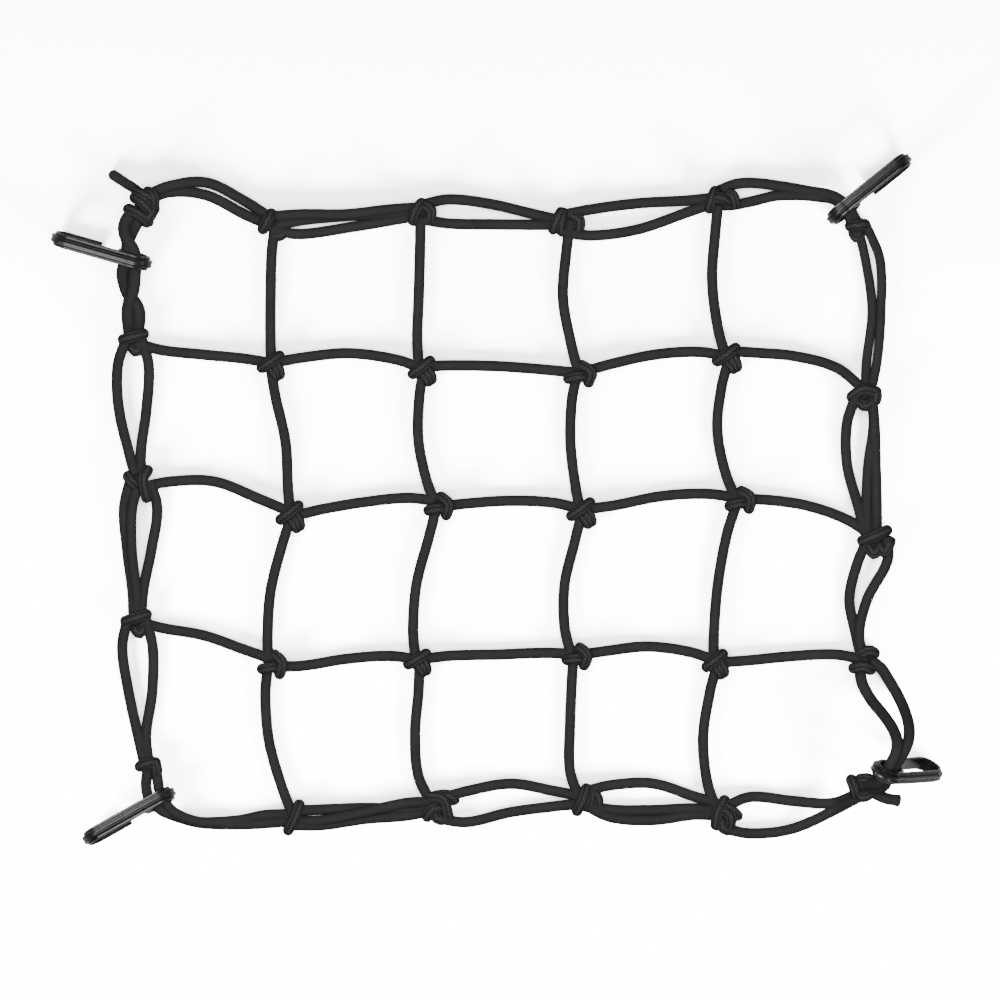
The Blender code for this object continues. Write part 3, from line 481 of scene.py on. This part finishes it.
class Finish:
    """A material and the nodes that are added to it."""

    def __init__(self, name):
        self.material = bpy.data.materials.new(name)
        self.material.use_nodes = True
        self.tree = self.material.node_tree
        self.shader = self.tree.nodes["Principled BSDF"]

    def node(self, kind, settings, values, output=0):
        """Adds a node, with its settings first and then the values or links of its sockets."""
        added = self.tree.nodes.new(kind)
        for name, setting in settings.items():
            setattr(added, name, setting)
        pairs = values.items() if isinstance(values, dict) else enumerate(values)
        for key, value in pairs:
            self.join(value, added.inputs[key])
        return Value(self, added.outputs[output])

    def join(self, value, socket):
        """Links a value to a socket, or sets the socket to a plain number or name."""
        if isinstance(value, Value):
            self.tree.links.new(value.socket, socket)
        else:
            socket.default_value = value

    def set(self, **values):
        """Sets or links the shader's sockets, with an underscore for each space in a name."""
        for name, value in values.items():
            self.join(value, self.shader.inputs[name.replace("_", " ")])

    def blend(self, factor, dark, light):
        """A colour between two colours."""
        values = {0: factor, 6: (*dark, 1.0), 7: (*light, 1.0)}
        return self.node("ShaderNodeMix", {"data_type": "RGBA"}, values, 2)


def shaded(colour, share):
    """The colour made darker or lighter by a share."""
    return tuple(part * share for part in colour)


def cord_cover(name, colour, braid, ridges):
    """The black braided cover: strands crossing over and under each other round the cord.

    Ridges is the number of folds that run along the cord where it is drawn tight in a knot.
    """
    finish = Finish(name)
    unwrapped = finish.node("ShaderNodeUVMap", {"uv_map": "UVMap"}, ())
    along = finish.node("ShaderNodeSeparateXYZ", {}, (unwrapped,), "X")
    around = finish.node("ShaderNodeSeparateXYZ", {}, (unwrapped,), "Y")
    crossings = along * (1.0 / braid)
    right = crossings + around * STRANDS_AROUND
    left = crossings - around * STRANDS_AROUND
    right_across = right.bulge()
    left_across = left.bulge()
    over = (right.whole() + left.whole()).odd()
    right_strand = right_across * (left_across * 3.0).least(1.0)
    left_strand = left_across * (right_across * 3.0).least(1.0)
    height = over * right_strand + (1.0 - over) * left_strand
    place = finish.node("ShaderNodeTexCoord", {}, (), "Object")
    fuzz = finish.node(
        "ShaderNodeTexNoise", {}, {"Vector": place, "Scale": 900.0, "Detail": 2.0}
    )
    patches = finish.node(
        "ShaderNodeTexNoise", {}, {"Vector": place, "Scale": 55.0, "Detail": 2.0}
    )
    # Painted highlight and painted shade: the tops of the strands are made lighter and the dips
    # between them darker.
    # The cover is lightest where a strand bulges, and uneven in patches and in its fuzz.
    shade = height * 0.38 + patches * 0.42 + fuzz * 0.3
    relief = height + fuzz * 0.35
    if ridges:
        crest = (around * float(ridges) + patches * 0.5).bulge()
        # Painted highlight and painted shade: each fold's crest is made lighter and the groove
        # between folds darker.
        shade = (height * 0.75 + fuzz * 0.5) * (crest * 1.2 + 0.05)
        relief = height * 1.2 + crest * 3.2
    bump = finish.node(
        "ShaderNodeBump", {}, {"Strength": 0.5, "Distance": 0.22 * MM, "Height": relief}
    )
    finish.set(
        Base_Color=finish.blend(shade, shaded(colour, 0.4), shaded(colour, 1.9)),
        Roughness=0.78, Normal=bump, Specular_IOR_Level=0.15,
    )
    return finish.material


def moulded_plastic(colour):
    """Satin black plastic with the faint unevenness of a moulding."""
    finish = Finish("black_moulding")
    place = finish.node("ShaderNodeTexCoord", {}, (), "Object")
    flow = finish.node("ShaderNodeTexNoise", {}, {"Vector": place, "Scale": 120.0, "Detail": 3.0})
    grain = finish.node("ShaderNodeTexNoise", {}, {"Vector": place, "Scale": 2600.0})
    relief = flow + grain * 0.3
    bump = finish.node(
        "ShaderNodeBump", {}, {"Strength": 0.25, "Distance": 0.06 * MM, "Height": relief}
    )
    finish.set(
        Base_Color=finish.blend(flow, shaded(colour, 0.8), shaded(colour, 1.3)),
        Roughness=flow * 0.12 + 0.21, Normal=bump, Specular_IOR_Level=0.55,
    )
    return finish.material


def glowing_paper(name, colour):
    """Matt paper with a faint glow of its own, as a lit backdrop has."""
    finish = Finish(name)
    finish.set(Base_Color=(*colour, 1.0), Roughness=0.9, Specular_IOR_Level=0.2)
    finish.set(Emission_Color=(*colour, 1.0), Emission_Strength=0.5)
    return finish.material


# ---------------------------------------------------------------- lines

def distances(line):
    """How far along the line each of its points lies."""
    stops = [0.0]
    for a, b in zip(line, line[1:]):
        stops.append(stops[-1] + (b - a).length)
    return stops


def stretch_of(stops, at):
    """The number of the stop that begins the stretch in which a place lies."""
    index = 0
    while index < len(stops) - 2 and at > stops[index + 1]:
        index += 1
    return index


def spline(stops, points, at):
    """A smooth curve through the points, read at one place along its stops."""
    index = stretch_of(stops, at)
    slopes = []
    for end in (index, index + 1):
        low = max(end - 1, 0)
        high = min(end + 1, len(points) - 1)
        slopes.append((points[high] - points[low]) / (stops[high] - stops[low]))
    width = stops[index + 1] - stops[index]
    u = (at - stops[index]) / width
    return (
        points[index] * (2 * u**3 - 3 * u**2 + 1)
        + slopes[0] * (width * (u**3 - 2 * u**2 + u))
        + points[index + 1] * (3 * u**2 - 2 * u**3)
        + slopes[1] * (width * (u**3 - u**2))
    )


def eased(stops, values, at):
    """Values joined by level-ended steps."""
    index = stretch_of(stops, at)
    u = (at - stops[index]) / (stops[index + 1] - stops[index])
    u = min(max(u, 0.0), 1.0)
    step = u * u * (3 - 2 * u)
    return values[index] * (1 - step) + values[index + 1] * step


def run_line(first, last, sideways, lifts, rest):
    """The middle line of a run between two knots, given as x, y and lift."""
    across = abs(last.x - first.x) > abs(last.y - first.y)
    side = Vector((0.0, 1.0, 0.0)) if across else Vector((1.0, 0.0, 0.0))
    plan = [first.lerp(last, t) + side * s for t, s in zip(PLAN_STOPS, sideways)]
    heights = [first.z + KNOT_LEVEL, *(rest + lift for lift in lifts), last.z + KNOT_LEVEL]
    line = []
    for k in range(RUN_PIECES + 1):
        at = k / RUN_PIECES
        point = spline(PLAN_STOPS, plan, at)
        point.z = eased(PLAN_STOPS, heights, at)
        line.append(point)
    return line


def line_through(points, pieces):
    """The smooth middle line through the listed points."""
    line = [Vector(point) for point in points]
    stops = distances(line)
    path = []
    for a, b in zip(stops, stops[1:]):
        path.extend(spline(stops, line, a + (b - a) * k / pieces) for k in range(pieces))
    path.append(line[-1])
    return path


def turn_line(turn, angle, wide, tall, centre):
    """One turn of a knot: up from under, over the cords and down again."""
    x0, y0, xm, ym, x1, y1, top = turn
    plan = []
    for x, y in ((x0, y0), (xm, ym), (x1, y1)):
        plan.append(Matrix.Rotation(math.radians(angle), 2) @ Vector((x * wide, y * tall)))
    rise = (TURN_LOW + top) * TURN_WAIST
    points = [
        (*plan[0], TURN_LOW),
        (*(plan[0] * TURN_SWELL), rise),
        (*plan[1], top),
        (*(plan[2] * TURN_SWELL), rise),
        (*plan[2], TURN_LOW),
    ]
    return [centre + point for point in line_through(points, TURN_PIECES)]


def evenly(line, step):
    """The line cut into even steps, with its length in metres."""
    stops = distances(line)
    count = max(3, round(stops[-1] * MM / step))
    points = []
    for k in range(count + 1):
        at = stops[-1] * k / count
        index = stretch_of(stops, at)
        share = (at - stops[index]) / (stops[index + 1] - stops[index])
        points.append(line[index].lerp(line[index + 1], min(share, 1.0)))
    return points, stops[-1] * MM


# ---------------------------------------------------------------- pieces

def pick_only(*items):
    """Selects these and nothing else, with the first of them active."""
    bpy.ops.object.select_all(action="DESELECT")
    for item in items:
        item.select_set(True)
    bpy.context.view_layer.objects.active = items[0]


def placed(name, data):
    """A new object in the scene."""
    item = bpy.data.objects.new(name, data)
    bpy.context.scene.collection.objects.link(item)
    return item


def made_mesh(item):
    """The curve made a mesh."""
    pick_only(item)
    bpy.ops.object.convert(target="MESH")
    return bpy.context.active_object


def close_up():
    """Merges the active mesh's doubled points and turns its faces outwards."""
    bpy.ops.object.mode_set(mode="EDIT")
    bpy.ops.mesh.select_all(action="SELECT")
    bpy.ops.mesh.remove_doubles(threshold=MERGE)
    bpy.ops.mesh.normals_make_consistent(inside=False)
    bpy.ops.object.mode_set(mode="OBJECT")


def tube(name, line, diameter, step, ends=(), twist="Z_UP"):
    """A round cord along a line, unwrapped by its real length.

    Ends gives the radius of its last sections against the rest, for a free end's tip.
    """
    points, length = evenly(line, step)
    if ends:
        tip = points[-1]
        points = points[:-1] + [points[-2].lerp(tip, t) for t in TIP_STOPS]
    data = bpy.data.curves.new(name, "CURVE")
    data.dimensions = "3D"
    data.bevel_depth = diameter / 2
    data.bevel_resolution = 6
    data.use_fill_caps = True
    data.twist_mode = twist
    thread = data.splines.new("POLY")
    thread.points.add(len(points) - 1)
    for knot, point in zip(thread.points, points):
        knot.co = (*((point + SHIFT) * MM), 1.0)
        knot.radius = 1.0
    for knot, radius in zip(reversed(thread.points), reversed(ends)):
        knot.radius = radius
    item = made_mesh(placed(name, data))
    for corner in item.data.uv_layers["UVMap"].data:
        corner.uv.x *= length
    return item


def joined(name, items, material, replaced):
    """Joins the pieces into one finished piece of the object."""
    pick_only(*items)
    bpy.ops.object.join()
    piece = bpy.context.active_object
    piece.name = name
    piece.data.name = name
    close_up()
    bpy.ops.object.shade_smooth_by_angle(angle=math.radians(50))
    piece.data.materials.clear()
    piece.data.materials.append(material)
    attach(piece, "root")
    if replaced:
        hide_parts(*replaced)
    return piece


def knot_places():
    """The middle of each knot, by its name."""
    return {row[0]: Vector((row[1], row[2], row[7])) for row in KNOTS}


def off_floor(line, radius):
    """Keeps a cord's middle line at least its radius above the floor."""
    for point in line:
        point.z = max(point.z, radius)
    return line


class NET_OT_cords(bpy.types.Operator):
    """Lays the mesh cords, the doubled border and the two free ends."""

    bl_idname = "cargo_net.cords"
    bl_label = "Cords"

    def execute(self, context):
        sizes = context.scene.net_sizes
        radius = sizes.cord / 2 / MM
        places = knot_places()
        items = []
        for a, b, *sideways in MESH:
            line = run_line(places[a], places[b], sideways, (0.0, 0.0, 0.0), radius)
            items.append(tube("mesh_cord", line, sizes.cord, sizes.step))
        for a, b, *row in BORDER:
            thin = THIN_RUNS.get((a, b), 1.0)
            line = run_line(places[a], places[b], row[:5], row[5:], radius * thin)
            items.append(tube("border_cord", line, sizes.cord * thin, sizes.step))
        for points, swell in zip(CORNERS, CORNER_SWELL):
            line = off_floor(line_through(points, CORNER_PIECES), radius * swell)
            items.append(tube("corner_cord", line, sizes.cord * swell, sizes.step))
        for swell, tip, points in TAILS:
            line = off_floor(line_through(points, TAIL_PIECES), radius * swell)
            items.append(tube("tail", line, sizes.cord * swell, sizes.step, tip))
        cover = cord_cover("braided_cord_cover", tuple(sizes.cover), sizes.braid, 0)
        joined("net_cords", items, cover, ["net"])
        return {"FINISHED"}


class NET_OT_knots(bpy.types.Operator):
    """Wraps every knot with its turns of cord."""

    bl_idname = "cargo_net.knots"
    bl_label = "Knots"

    def execute(self, context):
        sizes = context.scene.net_sizes
        places = knot_places()
        thickness = sizes.cord * TURN_THICKNESS
        step = sizes.step * TURN_STEP
        pattern = self.packed_cord()
        items = []
        for name, _, _, kind, angle, wide, tall, _ in KNOTS:
            for turn in TURNS[kind]:
                line = turn_line(turn, angle, wide, tall, places[name])
                items.append(tube("turn", line, thickness, step, (), "MINIMUM"))
            core = placed("packed_cord", pattern.data.copy())
            middle = places[name] + SHIFT + Vector((0.0, 0.0, KNOT_LEVEL))
            core.data.transform(Matrix.Translation(middle * MM))
            items.append(core)
        bpy.data.objects.remove(pattern, do_unlink=True)
        cover = cord_cover("drawn_tight_cover", shaded(sizes.cover, 1.1), sizes.braid * 1.3, 6)
        joined("net_knots", items, cover, [])
        return {"FINISHED"}

    def packed_cord(self):
        """The cord packed inside a knot and seen only between its turns, about the origin."""
        bpy.ops.object.select_all(action="DESELECT")
        bpy.ops.mesh.primitive_uv_sphere_add(segments=16, ring_count=10, radius=1.0)
        core = bpy.context.active_object
        core.scale = Vector(PACKED_SIZE) * MM
        bpy.ops.object.transform_apply(location=True, rotation=True, scale=True)
        # Unwrapped to about the length and the share of the way round that a cord there has.
        for corner in core.data.uv_layers[0].data:
            corner.uv.x *= 0.02
            corner.uv.y *= 0.15
        return core


class NET_OT_hooks(bpy.types.Operator):
    """Moulds one hook and sets a copy of it on each corner."""

    bl_idname = "cargo_net.hooks"
    bl_label = "Hooks"

    def execute(self, context):
        sizes = context.scene.hook_sizes
        pattern = self.mould(sizes)
        plastic = moulded_plastic(tuple(sizes.colour))
        for name, x, y, turn, lean, slope, height in HOOKS:
            place = (
                Matrix.Translation((Vector((x, y, height)) + SHIFT) * MM)
                @ Matrix.Rotation(math.radians(turn), 4, "Z")
                @ Matrix.Rotation(math.radians(slope), 4, "Y")
                @ Matrix.Rotation(math.radians(lean), 4, "X")
            )
            hook = placed(name + "_moulding", pattern.data.copy())
            hook.data.transform(place)
            hook.data.materials.append(plastic)
            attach(hook, "root")
            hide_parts(name)
        bpy.data.objects.remove(pattern, do_unlink=True)
        return {"FINISHED"}

    def profile(self, sizes):
        """The section of the band as a closed curve: flat inside, a raised rib outside."""
        half = sizes.width / 2
        rib = sizes.rib / 2
        inside = HOOK_INSIDE * MM
        flange = -HOOK_FLANGE * MM
        top = -HOOK_RIB * MM
        soft = HOOK_SOFT * MM
        groove = HOOK_GROOVE * MM
        side = (
            (inside, half - soft), (inside - soft, half), (flange + soft, half),
            (flange, half - soft), (flange, rib + 2 * groove), (flange + groove, rib + groove),
            (flange, rib), (top + soft, rib), (top, rib - soft),
            (top, rib - 2 * soft), (top + groove, rib - 3 * soft),
        )
        corners = side + tuple((out, -across) for out, across in reversed(side))
        data = bpy.data.curves.new("hook_section", "CURVE")
        data.dimensions = "2D"
        thread = data.splines.new("POLY")
        thread.points.add(len(corners) - 1)
        thread.use_cyclic_u = True
        for point, (out, across) in zip(thread.points, corners):
            point.co = (out, across, 0.0, 1.0)
        return placed("hook_section", data)

    def band(self, name, line, section, closed):
        """The band swept along a flat line in its own plane."""
        data = bpy.data.curves.new(name, "CURVE")
        data.dimensions = "2D"
        data.fill_mode = "NONE"
        data.bevel_mode = "OBJECT"
        data.bevel_object = section
        data.use_fill_caps = True
        thread = data.splines.new("POLY")
        thread.points.add(len(line) - 1)
        thread.use_cyclic_u = closed
        for point, (x, y) in zip(thread.points, line):
            point.co = (x * MM, y * MM, 0.0, 1.0)
        item = made_mesh(placed(name, data))
        close_up()
        return item

    def mould(self, sizes):
        """One hook in its own plane, with the end of its eye at the origin."""
        section = self.profile(sizes)
        tip = HOOK_LENGTH - HOOK_RIB - BEND_RADIUS
        arm = HOOK_LENGTH - ARM_LENGTH
        middle = HOOK_RIB + EYE_HALF_LENGTH
        top = EYE_HALF_HEIGHT - EYE_DROP
        # The shank leaves the eye along its top and runs straight to the bend.
        shank = (
            (middle + 1.0, top - 0.2, 0.0),
            (middle + 5.5, BEND_RADIUS - 0.2, 0.0),
            (24.5, BEND_RADIUS, 0.0),
            (30.0, BEND_RADIUS, 0.0),
            (36.0, BEND_RADIUS, 0.0),
        )
        line = [(point.x, point.y) for point in line_through(shank, SHANK_PIECES)]
        for k in range(BEND_PIECES + 1):
            a = math.radians(90 - 180 * k / BEND_PIECES)
            line.append((tip + BEND_RADIUS * math.cos(a), BEND_RADIUS * math.sin(a)))
        # The arm turns a little towards the shank at its end.
        line += [
            (arm + 8.0, -BEND_RADIUS),
            (arm + 4.0, -BEND_RADIUS + 0.3),
            (arm, -BEND_RADIUS + 0.8),
        ]
        eye = []
        for k in range(EYE_PIECES):
            a = -math.tau * k / EYE_PIECES
            x = middle + EYE_HALF_LENGTH * math.cos(a)
            eye.append((x, EYE_HALF_HEIGHT * math.sin(a) - EYE_DROP))
        hook = self.band("hook_band", line, section, False)
        ring = self.band("hook_ring", eye, section, True)
        union = hook.modifiers.new("one moulding", "BOOLEAN")
        union.operation = "UNION"
        union.object = ring
        pick_only(hook)
        bpy.ops.object.modifier_apply(modifier="one moulding")
        bpy.data.objects.remove(ring, do_unlink=True)
        bpy.data.objects.remove(section, do_unlink=True)
        # It was drawn lying flat, and is now stood up, with the band's width across it.
        hook.data.transform(Matrix.Rotation(math.radians(90), 4, "X"))
        pick_only(hook)
        bpy.ops.object.shade_smooth_by_angle(angle=math.radians(38))
        return hook


class NET_OT_stage(bpy.types.Operator):
    """Adds the pale floor, the soft lights and the camera above."""

    bl_idname = "cargo_net.stage"
    bl_label = "Stage"

    def execute(self, context):
        sizes = context.scene.stage_sizes
        bpy.ops.object.select_all(action="DESELECT")
        bpy.ops.mesh.primitive_plane_add(size=12.0, location=(0, 0, 0))
        floor = bpy.context.active_object
        floor.name = "floor"
        floor.data.materials.append(glowing_paper("floor_paper", tuple(sizes.floor)))
        floor.visible_diffuse = False
        floor.visible_glossy = False
        groups = {}
        for name in ("floor", "cords", "hooks"):
            groups[name] = bpy.data.collections.new(name + "_light")
        groups["floor"].objects.link(floor)
        for item in context.scene.objects:
            if item.name.startswith("net_"):
                groups["cords"].objects.link(item)
            elif item.name.endswith("_moulding"):
                groups["hooks"].objects.link(item)
        for name, place, aim, size, power, colour, alone in LAMPS:
            bpy.ops.object.light_add(type="AREA", location=place)
            lamp = bpy.context.active_object
            lamp.name = name
            lamp.visible_camera = False
            lamp.data.shape = "DISK"
            lamp.data.size = size
            lamp.data.energy = power
            lamp.data.color = colour
            toward = Vector(aim) - Vector(place)
            lamp.rotation_euler = toward.to_track_quat("-Z", "Y").to_euler()
            if alone:
                lamp.light_linking.receiver_collection = groups[alone]
        world = bpy.data.worlds.new("studio")
        world.use_nodes = True
        background = world.node_tree.nodes["Background"]
        background.inputs["Color"].default_value = (*WHITE, 1.0)
        background.inputs["Strength"].default_value = DAYLIGHT
        context.scene.world = world
        bpy.ops.object.camera_add(location=CAMERA_PLACE, rotation=(0, 0, 0))
        camera = bpy.context.active_object
        camera.name = "camera_above"
        camera.data.sensor_width = SENSOR_WIDTH
        camera.data.lens = SENSOR_WIDTH * CAMERA_PLACE[2] / sizes.view_width
        camera.data.clip_end = 50.0
        context.scene.camera = camera
        return {"FINISHED"}


class NET_PT_panel(bpy.types.Panel):
    """The net's sizes and the steps that build it."""

    bl_idname = "NET_PT_panel"
    bl_label = "Cargo Net"
    bl_space_type = "VIEW_3D"
    bl_region_type = "UI"
    bl_category = "Cargo Net"

    def draw(self, context):
        for group, steps in (
            ("net_sizes", ("cargo_net.cords", "cargo_net.knots")),
            ("hook_sizes", ("cargo_net.hooks",)),
            ("stage_sizes", ("cargo_net.stage",)),
        ):
            box = self.layout.box()
            sizes = getattr(context.scene, group)
            for name in sizes.__annotations__:
                box.prop(sizes, name)
            for step in steps:
                box.operator(step)


CLASSES = (
    NetSizes, HookSizes, StageSizes,
    NET_OT_cords, NET_OT_knots, NET_OT_hooks, NET_OT_stage, NET_PT_panel,
)


def register():
    for item in CLASSES:
        bpy.utils.register_class(item)
    bpy.types.Scene.net_sizes = PointerProperty(type=NetSizes)
    bpy.types.Scene.hook_sizes = PointerProperty(type=HookSizes)
    bpy.types.Scene.stage_sizes = PointerProperty(type=StageSizes)


def unregister():
    del bpy.types.Scene.net_sizes
    del bpy.types.Scene.hook_sizes
    del bpy.types.Scene.stage_sizes
    for item in reversed(CLASSES):
        bpy.utils.unregister_class(item)


def main():
    register()
    bpy.ops.cargo_net.cords()
    bpy.ops.cargo_net.knots()
    bpy.ops.cargo_net.hooks()
    bpy.ops.cargo_net.stage()
    bpy.context.view_layer.update()


if __name__ == "__main__":
    main()
